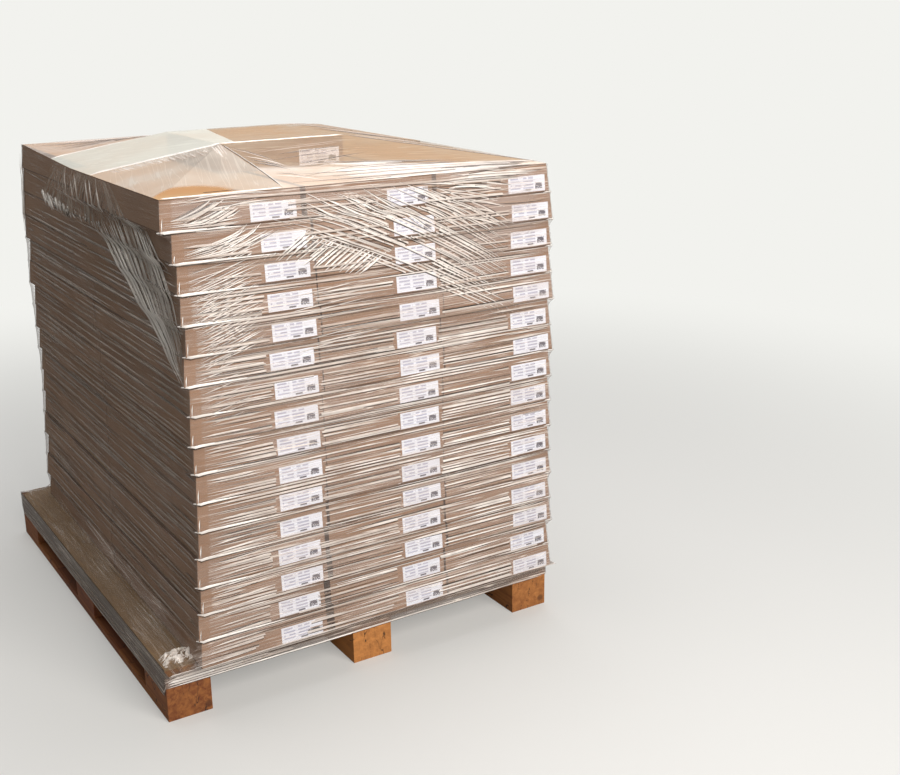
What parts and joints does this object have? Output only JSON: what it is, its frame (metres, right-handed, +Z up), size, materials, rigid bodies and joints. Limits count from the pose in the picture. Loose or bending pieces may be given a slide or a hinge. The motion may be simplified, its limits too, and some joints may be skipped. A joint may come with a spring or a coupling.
{
  "type": "shrink wrapped pallet load",
  "caption": "Block pallet with layers of flat cardboard cartons and a loose one on top, under stretch film drawn round the sides and over the top.",
  "frame": {"origin": "middle of the pallet's footprint on the floor, on the underside of the middle bottom board", "axes": "+Z up, -Y towards the labelled front, +X to the right as seen from the front"},
  "size_m": [1.0016, 1.243, 1.1842],
  "materials": {
    "pallet_boards": "rough sawn softwood, weathered",
    "pallet_blocks": "sawn softwood block",
    "slip_sheet": "matt kraft sheet",
    "carton_board": "matt kraft corrugated board",
    "label_paper": "satin white label",
    "stretch_film": "clear glossy stretch film, creased"
  },
  "bodies": {
    "root": {"bottom_boards": "pallet_boards", "pallet_blocks": "pallet_blocks", "stringer_boards": "pallet_boards", "deck_boards": "pallet_boards", "slip_sheet": "slip_sheet", "carton_layer_01": "carton_board", "carton_layer_02": "carton_board", "carton_layer_03": "carton_board", "carton_layer_04": "carton_board", "carton_layer_05": "carton_board", "carton_layer_06": "carton_board", "carton_layer_07": "carton_board", "carton_layer_08": "carton_board", "carton_layer_09": "carton_board", "carton_layer_10": "carton_board", "carton_layer_11": "carton_board", "carton_layer_12": "carton_board", "carton_layer_13": "carton_board", "carton_layer_14": "carton_board", "carton_layer_15": "carton_board", "carton_layer_16": "carton_board", "loose_carton": "carton_board", "carton_labels": "label_paper", "side_film": "stretch_film", "top_film": "stretch_film"}
  },
  "joints": []
}
